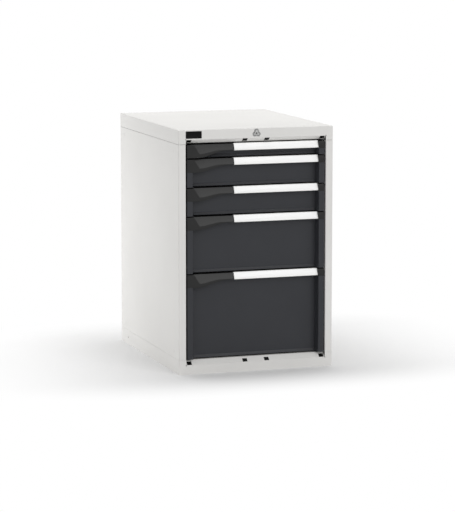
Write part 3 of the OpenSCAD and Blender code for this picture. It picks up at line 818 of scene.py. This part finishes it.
@dataclass
class Casing:
    """Trim of the casing: the bare name plate, the plugs in its sides and the black painted shade in its
    hinge slots.

    Attributes:
        plate_corner: Corner radius of the name plate.
        plate_rim: Width of the plate's raised rim.
        plate_sink: Depth of the plate's field below its rim.
        stem_radius: Radius of a plug's face.
        stem_length: Length of a plug through the sheet.
        collar_radius: Radius of a plug's snap collar.
        collar_length: Length of that collar behind the sheet.
        dish_rim: Width of the rim round a plug's dished face.
        dish_depth: Depth of the dish.
        edge_round: Rounding of the small edges.
    """

    plate_corner: float = 0.002
    plate_rim: float = 0.0013
    plate_sink: float = 0.0003
    stem_radius: float = 0.0057
    stem_length: float = 0.0015
    collar_radius: float = 0.0075
    collar_length: float = 0.00099
    dish_rim: float = 0.0012
    dish_depth: float = 0.0003
    edge_round: float = 0.0002

    def build(self) -> list[Piece]:
        """Builds the plate, the plugs and the painted slot shades.

        Returns:
            The pieces.
        """
        # Painted shade: black pieces in the hinge slots of the base and the top fold.
        painted_slot_shades = (
            PaintedSlotShades("base_painted_slot_shades", depth=0.0064, height=0.0382, slope=42.4, length=0.0145),
            PaintedSlotShades("top_painted_slot_shades", depth=0.0076, height=0.8113, slope=145.05, length=0.016),
        )
        return [
            place(self.plate(), "casing", "name_plate", Slot.PLATE),
            place(self.plugs(), "casing", "side_plugs", Slot.CASING_PLASTIC),
            *(place(fold.build(), "casing", None, Slot.PLATE) for fold in painted_slot_shades),
        ]

    def plate(self) -> Piece:
        """Models the plate with rounded corners and a raised rim round a bare field.

        Returns:
            The plate.
        """
        plate = Bench.block("name_plate_face", *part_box("name_plate"))
        Bench.round_corners(plate, BACK, self.plate_corner, segments=6)
        Bench.recess(plate, -BACK, self.plate_rim, -self.plate_sink)
        Bench.round_edges(plate, self.edge_round / 2, segments=2)
        return plate

    def plugs(self) -> Piece:
        """Models one plug with its dished face and snap collar, and copies it to all its places.

        Returns:
            The joined plugs.
        """
        low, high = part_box("side_plugs")
        reach = self.collar_radius
        first = Vector((high.x, low.y + reach, low.z + reach))
        plug = Bench.drum("plug_master", first - RIGHT * self.stem_length, self.stem_length,
                          self.stem_radius, Axis.X)
        with Bench.edit(plug, Part.FACE):
            Bench.pick(plug, Part.FACE, along=RIGHT)
            bpy.ops.mesh.inset(thickness=self.dish_rim)
            bpy.ops.mesh.inset(thickness=self.dish_rim, depth=-self.dish_depth)
            Bench.pick(plug, Part.FACE, along=-RIGHT)
            bpy.ops.mesh.extrude_region_move()
            grow = reach / self.stem_radius
            bpy.ops.transform.resize(value=(1.0, grow, grow), center_override=first)
            Bench.pull(-RIGHT * self.collar_length)
        Bench.round_edges(plug, self.edge_round, segments=2)
        pieces = []
        for y in (0.0, high.y - low.y - 2 * reach):
            for z in (0.0, high.z - low.z - 2 * reach):
                pieces.append(Bench.copy(plug, "plug_right", (0.0, y, z)))
                pieces.append(Bench.copy(plug, "plug_left", (0.0, -y, z), turn=math.pi))
        bpy.data.objects.remove(plug)
        return Bench.join("side_plug_discs", pieces)


@dataclass
class CentralLock:
    """Lock barrel with its three-lobed rosette on a black seat, and the turning plug.

    Attributes:
        disc_radius: Radius of the seat's disc and of the barrel.
        lobe_radius: Radius of each lobe of the seat.
        lobe_reach: Distance of the lobes' middles from the lock's axis.
        lobe_turns: Directions of the lobes in degrees from +X towards +Z.
        seat_thickness: Thickness of the seat.
        seat_rim: How far the seat stands out round the rosette.
        groove: Outer and inner radius of the groove in each lobe.
        bore_radius: Radius of the bore that the plug turns in.
        key_width: Width of the key slot.
        key_height: Height of the key slot.
        key_depth: Depth of the key slot.
        guide_radius: Radius of the round guide in front of the key slot.
        guide_depth: Depth of that guide.
        edge_round: Rounding of the edges.
    """

    disc_radius: float = 0.009
    lobe_radius: float = 0.0083
    lobe_reach: float = 0.0071
    lobe_turns: tuple[float, ...] = (90.0, 210.0, 330.0)
    seat_thickness: float = 0.0004
    seat_rim: float = 0.0007
    groove: tuple[float, float] = (0.0059, 0.0046)
    bore_radius: float = 0.0065
    key_width: float = 0.003
    key_height: float = 0.007
    key_depth: float = 0.012
    guide_radius: float = 0.0026
    guide_depth: float = 0.006
    edge_round: float = 0.0002

    def build(self) -> list[Piece]:
        """Builds the rosette, its seat and the plug.

        Returns:
            The pieces.
        """
        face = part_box("name_plate")[1].y
        seat = self.trefoil("lock_seat", face - self.seat_thickness, face, 0.0)
        Bench.round_edges(seat, self.edge_round / 2, segments=2)
        return [
            place(self.rosette(face), "casing", "lock_housing", Slot.NICKEL),
            place(seat, "casing", None, Slot.GRIP),
            place(self.plug(), "lock", "lock_plug", Slot.NICKEL),
        ]

    def axis_at(self, y: float) -> Vector:
        """Point of the lock's axis at a depth."""
        low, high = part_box("lock_plug")
        return Vector(((low.x + high.x) / 2, y, (low.z + high.z) / 2))

    def lobes(self, y: float) -> list[Vector]:
        """Middles of the three lobes at a depth."""
        turns = map(math.radians, self.lobe_turns)
        return [self.axis_at(y) + Vector((math.cos(t), 0.0, math.sin(t))) * self.lobe_reach for t in turns]

    def bore(self, piece: Piece, front: float, back: float) -> None:
        """Bores the hole of the plug through a piece that lies between two depths."""
        start, length = self.axis_at(front - MARGIN), back - front + 2 * MARGIN
        Bench.combine(piece, Bench.drum("bore", start, length, self.bore_radius, Axis.Y))

    def trefoil(self, name: str, front: float, back: float, inset: float) -> Piece:
        """Models a plate with three lobes and a bore.

        Args:
            name: Name of the plate.
            front: Depth of its front.
            back: Depth of its back.
            inset: How far its outline lies inside the seat's.

        Returns:
            The plate.
        """
        plate = Bench.drum(name, self.axis_at(front), back - front, self.disc_radius - inset, Axis.Y)
        for middle in self.lobes(front):
            lobe = Bench.drum("lobe", middle, back - front, self.lobe_radius - inset, Axis.Y)
            Bench.combine(plate, lobe, "UNION")
        self.bore(plate, front, back)
        Bench.clean(plate)
        return plate

    def rosette(self, face: float) -> Piece:
        """Models the rosette with a groove in each lobe, and the barrel behind it.

        Args:
            face: Depth of the casing's front.

        Returns:
            The rosette.
        """
        low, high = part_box("lock_housing")
        back = face - self.seat_thickness
        rosette = self.trefoil("lock_rosette", low.y, back, self.seat_rim)
        outer, inner = self.groove
        length = back - low.y + 2 * MARGIN
        for middle in self.lobes(low.y - MARGIN):
            ring = Bench.drum("groove", middle, length, outer, Axis.Y)
            core = Bench.drum("core", middle - BACK * MARGIN, length + 2 * MARGIN, inner, Axis.Y)
            Bench.combine(ring, core)
            Bench.combine(rosette, ring)
        Bench.clean(rosette)
        barrel = Bench.drum("barrel", self.axis_at(face), high.y - face, self.disc_radius, Axis.Y)
        self.bore(barrel, face, high.y)
        return Bench.join("lock_rosette", [rosette, barrel])

    def plug(self) -> Piece:
        """Models the plug with its key slot and the round guide in front of it.

        Returns:
            The plug.
        """
        low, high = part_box("lock_plug")
        plug = Bench.drum("lock_plug_face", self.axis_at(low.y), high.y - low.y, (high.x - low.x) / 2, Axis.Y)
        half = Vector((self.key_width / 2, 0.0, self.key_height / 2))
        mouth, end = self.axis_at(low.y - MARGIN), self.axis_at(low.y + self.key_depth)
        Bench.combine(plug, Bench.block("key_slot", mouth - half, end + half))
        guide = Bench.drum("key_guide", mouth, self.guide_depth + MARGIN, self.guide_radius, Axis.Y)
        Bench.combine(plug, guide)
        Bench.clean(plug)
        Bench.round_edges(plug, self.edge_round / 2, segments=2)
        return plug


@dataclass
class GripMould:
    """Black grip moulding at the left end of a handle.

    Attributes:
        flat: Length of the full-height end.
        rise: Length over which the lower edge sweeps up.
        end_height: Height at the right end.
        set_back: How far the lip draws back at the right end.
        sweep: Length over which the lip draws back.
        wall: Wall of the moulding.
        face_depth: Depth of the sloping face's upper edge.
        face_height: Height over which the sloping face runs out to the front.
        cheek_top: Distance of the sloping face's left end at the top.
        cheek_foot: Distance of that end at its foot.
        column: Width of the end that stands in for the column.
        edge_round: Rounding of the edges.
        edge_angle: Edges that bend by more than this are rounded.
        stations: Number of cuts along the moulding.
    """

    flat: float = 0.037
    rise: float = 0.115
    end_height: float = 0.0225
    set_back: float = 0.005
    sweep: float = 0.080
    wall: float = 0.003
    face_depth: float = 0.014
    face_height: float = 0.0312
    cheek_top: float = 0.025
    cheek_foot: float = 0.045
    column: float = 0.025
    edge_round: float = 0.0005
    edge_angle: float = math.radians(11.0)
    stations: int = 33

    def build(self) -> Piece:
        """Models the grip of the top drawer.

        Returns:
            The grip.
        """
        grip = Bench.block("grip_master", *self.corners())
        with Bench.edit(grip, Part.EDGE):
            Bench.pick(grip, Part.EDGE, along=RIGHT)
            bpy.ops.mesh.subdivide(number_cuts=self.stations)
        self.sweep_lip(grip)
        self.cut_face(grip)
        self.cut_hollows(grip)
        Bench.clean(grip)
        Bench.round_edges(grip, self.edge_round, segments=2, angle=self.edge_angle)
        return grip

    @staticmethod
    def corners() -> tuple[Vector, Vector]:
        """Lowest and highest corner of the top drawer's grip."""
        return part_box("drawer_1_grip")

    def fall(self) -> Vector:
        """Normal of the sloping face, pointing into the moulding."""
        return Vector((0.0, self.face_height, -self.face_depth))

    def sweep_lip(self, grip: Piece) -> None:
        """Sweeps the lower edge up and the front back towards the right end.

        Args:
            grip: The grip as a block with its stations cut.
        """
        low, high = self.corners()
        step = (high.x - low.x) / (self.stations + 1)
        drop = high.z - low.z - self.end_height
        with Bench.edit(grip, Part.VERT):
            for k in range(self.stations + 2):
                s = k * step
                x = low.x + s
                lift = drop * ease((s - self.flat) / self.rise)
                back = self.set_back * ease((s - self.cheek_foot) / self.sweep)
                Bench.shift(grip, (x, low.y, low.z), (x, low.y, high.z), (0.0, back, 0.0))
                Bench.shift(grip, (x, low.y, low.z), (x, high.y, low.z), (0.0, 0.0, lift))

    def cut_face(self, grip: Piece) -> None:
        """Cuts the sloping face between its cheek and the right end.

        Args:
            grip: The grip.
        """
        low, high = self.corners()
        around = Vector((MARGIN, MARGIN, MARGIN))
        tool = Bench.block("grip_face_tool", low - around, high + around)
        Bench.slice(tool, (low.x, low.y + self.face_depth, high.z), self.fall())
        cheek = (-self.face_height, 0.0, self.cheek_top - self.cheek_foot)
        Bench.slice(tool, (low.x + self.cheek_top, low.y, high.z), cheek)
        Bench.combine(grip, tool)

    def cut_hollows(self, grip: Piece) -> None:
        """Hollows the moulding from behind and below.

        Args:
            grip: The grip.
        """
        low, high = self.corners()
        skin = self.wall * self.fall().length / self.face_height
        fingers = Bench.block(
            "grip_finger_tool",
            (low.x + self.column, low.y + self.set_back + self.wall, low.z - MARGIN),
            (high.x - self.wall, high.y + MARGIN, high.z - self.wall))
        Bench.slice(fingers, (low.x, low.y + self.face_depth + skin, high.z), -self.fall())
        Bench.combine(grip, fingers)
        pocket = Bench.block(
            "grip_pocket_tool",
            (low.x + self.wall, low.y + self.wall, low.z + self.wall),
            (low.x + self.column - self.wall, high.y + MARGIN, high.z - self.wall))
        Bench.combine(grip, pocket)


@dataclass
class HandleProfile:
    """White handle profile with a sloping face and a rounded lower lip.

    Attributes:
        rise: How far the profile stands above the drawer's front.
        flange: Depth at which the upper flange ends against the panel.
        fall: How far the flange falls from the bend to its end.
        brow: Depth of the bend between the flange and the face.
        chin: Depth of the bend between the face and the lip.
        lip: Depth at which the lip ends.
        drop: Height of the face.
        lip_rise: How far the lip's end lies above the lower bend.
        wall: Wall of the profile.
        brow_round: Rounding of the upper bend.
        chin_round: Rounding of the lower bend.
        edge_round: Rounding of the cut ends.
        end_angle: Edges that bend by more than this are cut ends.
    """

    rise: float = 0.002
    flange: float = 0.030
    fall: float = 0.0050
    brow: float = 0.0151
    chin: float = 0.0041
    lip: float = 0.0110
    drop: float = 0.0234
    lip_rise: float = 0.0010
    wall: float = 0.0022
    brow_round: float = 0.0016
    chin_round: float = 0.0030
    edge_round: float = 0.0004
    end_angle: float = math.radians(60.0)

    def build(self) -> Piece:
        """Models the profile of the top drawer as a folded strip.

        Returns:
            The profile.
        """
        low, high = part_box("drawer_1_handle")
        front_low, front_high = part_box("drawer_1_front")
        face = front_low.y
        level = front_high.z + self.rise - self.wall / 2
        end = self.flange + self.wall / 2
        profile = Bench.sheet("handle_master", ((low.x + high.x) / 2, face + (self.brow + end) / 2, level),
                              (high.x - low.x, end - self.brow))
        brow_y, chin_y = face + self.brow, face + self.chin
        with Bench.edit(profile, Part.VERT):
            Bench.shift(profile, (low.x, face + end, level), (high.x, face + end, level), -UP * self.fall)
        with Bench.edit(profile, Part.EDGE):
            Bench.pick(profile, Part.EDGE, (low.x, brow_y, level), (high.x, brow_y, level), RIGHT)
            for y, z in ((self.chin - self.brow, -self.drop), (self.lip - self.chin, self.lip_rise)):
                bpy.ops.mesh.extrude_edges_move(TRANSFORM_OT_translate={"value": (0.0, y, z)})
            bends = ((brow_y, level, self.brow_round), (chin_y, level - self.drop, self.chin_round))
            for y, z, radius in bends:
                Bench.pick(profile, Part.EDGE, (low.x, y, z), (high.x, y, z), RIGHT)
                bpy.ops.mesh.bevel(offset=radius, segments=6, affect="EDGES")
            Bench.face_out()
        Bench.finish_with(profile, "SOLIDIFY", thickness=self.wall, offset=0.0)
        Bench.slice(profile, (0.0, face + self.flange, level), BACK)
        Bench.round_edges(profile, self.edge_round, segments=2, angle=self.end_angle)
        return profile


@dataclass
class LabelCard:
    """Label strip on the sloping face of a handle.

    Attributes:
        thickness: Thickness of the strip, measured along Y.
        corner: Corner radius of the strip.
        border: Width of the film's welded border.
        sink: Depth of the card's field below the border.
        edge_round: Rounding of the edges.
    """

    thickness: float = 0.00055
    corner: float = 0.0015
    border: float = 0.0008
    sink: float = 0.00012
    edge_round: float = 0.0001

    def build(self) -> Piece:
        """Models the strip of the top drawer.

        Returns:
            The strip.
        """
        low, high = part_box("drawer_1_label")
        front = Vector((high.x, low.y + self.thickness, high.z))
        card = Bench.block("label_master", low, front)
        with Bench.edit(card, Part.VERT):
            Bench.shift(card, (low.x, low.y, high.z), front, (0.0, high.y - front.y, 0.0))
        Bench.round_corners(card, BACK, self.corner, segments=4)
        Bench.recess(card, -BACK, self.border, -self.sink)
        Bench.round_edges(card, self.edge_round, segments=2)
        return card


@dataclass
class EndCap:
    """Moulded cap over the top of the right column.

    Attributes:
        wall: Wall of the cap.
        edge_round: Rounding of its edges.
    """

    wall: float = 0.003
    edge_round: float = 0.0008

    def build(self) -> Piece:
        """Models the cap of the top drawer, hollow from behind.

        Returns:
            The cap.
        """
        low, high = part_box("drawer_1_end_cap")
        cap = Bench.block("end_cap_master", low, high)
        Bench.recess(cap, BACK, self.wall, low.y - high.y + self.wall)
        Bench.round_edges(cap, self.edge_round)
        return cap


@dataclass
class SlottedTray:
    """Sheet tray with slotted walls, a turned-in rim and the catch at its back.

    Attributes:
        bays: Number of slots along the depth and across the width.
        sheet: Thickness of the sheet.
        slot_width: Width of a slot.
        slot_foot: Height of a slot's foot above the floor.
        slot_head: Distance of a slot's head below the rim.
        hem: Width of the turned-in rim.
        hem_drop: Height of the rim's folded edge.
        seam: Width of the seams that close when the walls join the floor.
        catch_sheet: Thickness of the catch.
        catch_ends: Distances of the catch's ends from the middle.
        catch_reach: Distance of the catch's lip behind the tray.
        catch_lift: Height of the catch above the tray's floor.
        catch_height: Height of the catch's foot and lip.
        rivet_gap: Hairline between the catch and the tray.
    """

    bays: tuple[int, int] = (36, 27)
    sheet: float = 0.001
    slot_width: float = 0.0026
    slot_foot: float = 0.007
    slot_head: float = 0.007
    hem: float = 0.005
    hem_drop: float = 0.003
    seam: float = 5 * NEAR
    catch_sheet: float = 0.0015
    catch_ends: tuple[float, float] = (0.018, 0.034)
    catch_reach: float = 0.0375
    catch_lift: float = 0.004
    catch_height: float = 0.01202
    rivet_gap: float = 0.0002

    def build(self, number: int) -> Piece:
        """Models the tray of one drawer.

        Args:
            number: Number of the drawer.

        Returns:
            The tray.
        """
        low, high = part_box(f"drawer_{number}_tray")
        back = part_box(f"drawer_{number}_slide_rails")[1].y
        deep, wide, tall = back - low.y, high.x - low.x, high.z - low.z
        middle = Vector(((low.x + high.x) / 2, (low.y + back) / 2, low.z))
        side = self.wall(deep, tall, self.bays[0])
        end = self.wall(wide, tall, self.bays[1])
        quarter = math.pi / 2
        walls = [
            Bench.copy(side, "wall", middle + RIGHT * wide / 2, quarter),
            Bench.copy(side, "wall", middle - RIGHT * wide / 2, -quarter),
            Bench.copy(end, "wall", middle + BACK * deep / 2, 2 * quarter),
            Bench.copy(end, "wall", middle - BACK * deep / 2),
        ]
        for master in (side, end):
            bpy.data.objects.remove(master)
        tray = Bench.join("tray", [Bench.sheet("floor", middle, (wide, deep)), *walls])
        self.fold_rim(tray, middle, Vector((wide, deep, high.z)))
        Bench.finish_with(tray, "SOLIDIFY", thickness=self.sheet, offset=-1.0)
        return Bench.join(f"drawer_{number}_tray_slotted", [tray, self.catch(back, low.z)])

    def wall(self, length: float, height: float, bays: int) -> Piece:
        """Models one bay with its slot and repeats it along a wall.

        Args:
            length: Length of the wall along X.
            height: Height of the wall.
            bays: Number of slots.

        Returns:
            The wall, standing on the origin in its middle and facing -Y.
        """
        bay = length / bays
        centre = (bay - length) / 2
        wall = Bench.sheet("wall", (centre, 0.0, height / 2), (bay, height), upright=True)
        low = Vector((centre - self.slot_width / 2, 0.0, self.slot_foot))
        high = Vector((centre + self.slot_width / 2, 0.0, height - self.slot_head))
        with Bench.edit(wall, Part.FACE):
            for point, normal in ((low, RIGHT), (high, RIGHT), (low, UP), (high, UP)):
                Bench.score(point, normal)
            Bench.pick(wall, Part.FACE, low, high)
            bpy.ops.mesh.delete(type="FACE")
        Bench.finish_with(wall, "ARRAY", count=bays, relative_offset_displace=(1.0, 0.0, 0.0),
                          use_merge_vertices=True, merge_threshold=NEAR)
        return wall

    def fold_rim(self, tray: Piece, middle: Vector, size: Vector) -> None:
        """Joins the walls to the floor and turns the rim in and down.

        Args:
            tray: The tray's floor and walls.
            middle: Middle of the floor.
            size: Width and depth of the tray, and the level of its rim.
        """
        shrink = (1.0 - 2.0 * self.hem / size.x, 1.0 - 2.0 * self.hem / size.y, 1.0)
        low = Vector((-size.x, -size.y, size.z))
        high = Vector((size.x, size.y, size.z))
        with Bench.edit(tray, Part.EDGE):
            bpy.ops.mesh.select_all(action="SELECT")
            bpy.ops.mesh.remove_doubles(threshold=self.seam)
            Bench.face_out()
            Bench.pick(tray, Part.EDGE, low, high)
            bpy.ops.mesh.extrude_edges_move()
            bpy.ops.transform.resize(value=shrink, center_override=middle)
            bpy.ops.mesh.extrude_edges_move(TRANSFORM_OT_translate={"value": -UP * self.hem_drop})
            Bench.face_out()

    def catch(self, back: float, floor_z: float) -> Piece:
        """Models the riveted catch bracket as a plate with its foot and lip turned up.

        Args:
            back: Place of the tray's back wall.
            floor_z: Level of the tray's floor.

        Returns:
            The catch.
        """
        foot_z = floor_z + self.catch_lift
        low = Vector((self.catch_ends[0], back + self.rivet_gap, foot_z - self.catch_sheet))
        high = Vector((self.catch_ends[1], back + self.catch_reach, foot_z))
        catch = Bench.block("catch", low, high)
        with Bench.edit(catch, Part.FACE):
            for y in (low.y + self.catch_sheet, high.y - self.catch_sheet):
                Bench.score((0.0, y, foot_z), BACK)
            for y in (low.y, high.y - self.catch_sheet):
                Bench.pick(catch, Part.FACE, (low.x, y, foot_z), (high.x, y + self.catch_sheet, foot_z), UP)
                Bench.pull(UP * self.catch_height)
        return catch


@dataclass
class Drawers:
    """The five drawers: what repeats is modelled once for the top drawer and copied down.

    Attributes:
        count: Number of drawers.
    """

    count: int = 5

    def build(self) -> list[Piece]:
        """Builds the moulded and folded pieces of every drawer.

        Returns:
            The pieces.
        """
        masters = (
            (GripMould().build(), "grip", "grip_shell", Slot.GRIP),
            (HandleProfile().build(), "handle", "handle_profile", Slot.HANDLE),
            (LabelCard().build(), "label", "label_card", Slot.LABEL),
            (EndCap().build(), "end_cap", "end_cap_shell", Slot.GRIP),
        )
        pieces = []
        for number in range(1, self.count + 1):
            body = f"drawer_{number}"
            for master, node, name, slot in masters:
                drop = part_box(f"{body}_{node}")[1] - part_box(f"drawer_1_{node}")[1]
                piece = Bench.copy(master, f"{body}_{name}", drop)
                pieces.append(place(piece, body, f"{body}_{node}", slot))
            pieces.append(place(SlottedTray().build(number), body, f"{body}_tray", Slot.ZINC))
        for master, *_ in masters:
            bpy.data.objects.remove(master)
        return pieces


@dataclass
class Lamp:
    """Soft rectangular lamp that points at a place.

    Attributes:
        name: Name of the lamp.
        place: Where it hangs.
        aim: What it points at.
        size: Width and height.
        watts: Power.
    """

    name: str
    place: Point
    aim: Point
    size: tuple[float, float]
    watts: float

    def build(self) -> None:
        """Adds the lamp to the scene."""
        data = bpy.data.lights.new(self.name, "AREA")
        data.shape = "RECTANGLE"
        data.size, data.size_y = self.size
        data.energy = self.watts
        lamp = bpy.data.objects.new(self.name, data)
        lamp.location = self.place
        lamp.rotation_euler = (Vector(self.aim) - Vector(self.place)).to_track_quat("-Z", "Y").to_euler()
        bpy.context.scene.collection.objects.link(lamp)


@dataclass
class Studio:
    """White studio: floor, surrounding light, soft lamps and the camera.

    Attributes:
        floor_half: Half the side of the floor.
        floor_tone: Tone of the floor as it lights the cabinet.
        floor_shown: Tone of the floor near the cabinet as the camera sees it.
        fade: Distances beside the cabinet over which the floor that the camera sees turns white.
        front_fade: How much sooner it turns white in front of the cabinet than beside it.
        ambient: Strength of the light from all round.
        lens: Focal length of the camera in millimetres.
        camera_place: Where the camera stands.
        camera_turn: Pitch, roll and heading of the camera in degrees.
        view_depth: How far the camera sees.
    """

    floor_half: float = 40.0
    floor_tone: float = 0.94
    floor_shown: float = 0.768
    fade: tuple[float, float] = (0.0, 0.75)
    front_fade: float = 1.8
    ambient: float = 0.70
    lens: float = 169.19
    camera_place: Point = (-2.7082, -8.1789, 1.6215)
    camera_turn: Point = (81.628, 0.0, -18.415)
    view_depth: float = 200.0

    def lamps(self) -> tuple[Lamp, ...]:
        """Lists the lamps.

        Returns:
            A softbox in front of the cabinet, one overhead and one at its left.
        """
        return (
            Lamp("front_softbox", (2.8, -7.4, 4.6), (0.0, -0.36, 0.45), (4.2, 3.6), 172.0),
            Lamp("top_softbox", (0.15, 0.6, 3.0), (0.0, 0.1, 0.85), (2.0, 1.6), 28.0),
            Lamp("left_softbox", (-1.1, 1.0, 0.4), (-0.28, 0.3, 0.38), (1.0, 0.8), 6.0),
        )

    def build(self) -> None:
        """Sets the stage, the light and the camera."""
        self.floor()
        self.world()
        for lamp in self.lamps():
            lamp.build()
        self.camera()

    @staticmethod
    def seen(wires: Wiring) -> Socket:
        """Tells whether the surroundings are seen, directly or in a reflection.

        Args:
            wires: Wiring of the material or world.

        Returns:
            Socket with 1 for camera, glossy and transmission rays.
        """
        path = wires.node("LightPath").outputs
        through = wires.number("MAXIMUM", path["Is Camera Ray"], path["Is Transmission Ray"])
        return wires.number("MAXIMUM", through, path["Is Glossy Ray"])

    def floor(self) -> None:
        """Lays the pale floor, which shows white and keeps the cabinet's shadow."""
        Bench.take()
        bpy.ops.mesh.primitive_plane_add(size=2.0 * self.floor_half, location=(0.0, 0.0, cad_box[0].z))
        floor = Bench.settle("studio_floor")
        material = bpy.data.materials.new("studio_floor")
        material.use_nodes = True
        material.node_tree.nodes.clear()
        wires = Wiring(material.node_tree)
        lit = wires.node("BsdfDiffuse", {"Color": (*[self.floor_tone] * 3, 1.0)})
        shown = wires.node("BsdfDiffuse", {"Color": (*[self.floor_shown] * 3, 1.0)})
        past = wires.vector("SUBTRACT", wires.vector("ABSOLUTE", wires.places()), cad_box[1])
        scaled = wires.vector("MULTIPLY", wires.vector("MAXIMUM", past), (1.0, self.front_fade, 1.0))
        away = wires.node("VectorMath", {0: scaled}, operation="LENGTH")
        share = wires.node("MapRange", {"Value": away.outputs["Value"], "From Min": self.fade[0],
                                        "From Max": self.fade[1]}, interpolation_type="SMOOTHSTEP")
        white = wires.node("Emission", {"Strength": 1.0})
        pale = wires.node("MixShader", {0: share.outputs["Result"], 1: shown.outputs[0], 2: white.outputs[0]})
        mixed = wires.node("MixShader", {0: self.seen(wires), 1: lit.outputs[0], 2: pale.outputs[0]})
        wires.node("OutputMaterial", {"Surface": mixed.outputs[0]})
        floor.data.materials.append(material)

    def world(self) -> None:
        """Surrounds the cabinet with even light that shows as white."""
        world = bpy.data.worlds.new("studio")
        world.use_nodes = True
        world.node_tree.nodes.clear()
        wires = Wiring(world.node_tree)
        strength = wires.between(self.seen(wires), self.ambient, 1.0)
        light = wires.node("Background", {"Strength": strength, "Color": (1.0, 1.0, 1.0, 1.0)})
        wires.node("OutputWorld", {"Surface": light.outputs[0]})
        bpy.context.scene.world = world

    def camera(self) -> None:
        """Stands the camera at the viewing angle."""
        data = bpy.data.cameras.new("camera")
        data.lens = self.lens
        data.clip_end = self.view_depth
        camera = bpy.data.objects.new("camera", data)
        camera.location = self.camera_place
        camera.rotation_euler = [math.radians(a) for a in self.camera_turn]
        bpy.context.scene.collection.objects.link(camera)
        bpy.context.scene.camera = camera


def dress_nodes() -> None:
    """Gives every CAD node the finish of its material slot."""
    for part in frame["record"]["subparts"]:
        dress(frame["nodes"][part["node"]], Slot(part["material_slot"]))


def main() -> None:
    """Builds every sub-assembly in order and reports each piece."""
    logging.basicConfig(level=logging.INFO, format="%(name)s: %(message)s")
    dress_nodes()
    for assembly in (Casing(), CentralLock(), Drawers()):
        for piece in assembly.build():
            log.info("%s: %d faces", piece.name, len(piece.data.polygons))
    Studio().build()
    bpy.context.scene.view_settings.view_transform = "Standard"


if __name__ == "__main__":
    main()
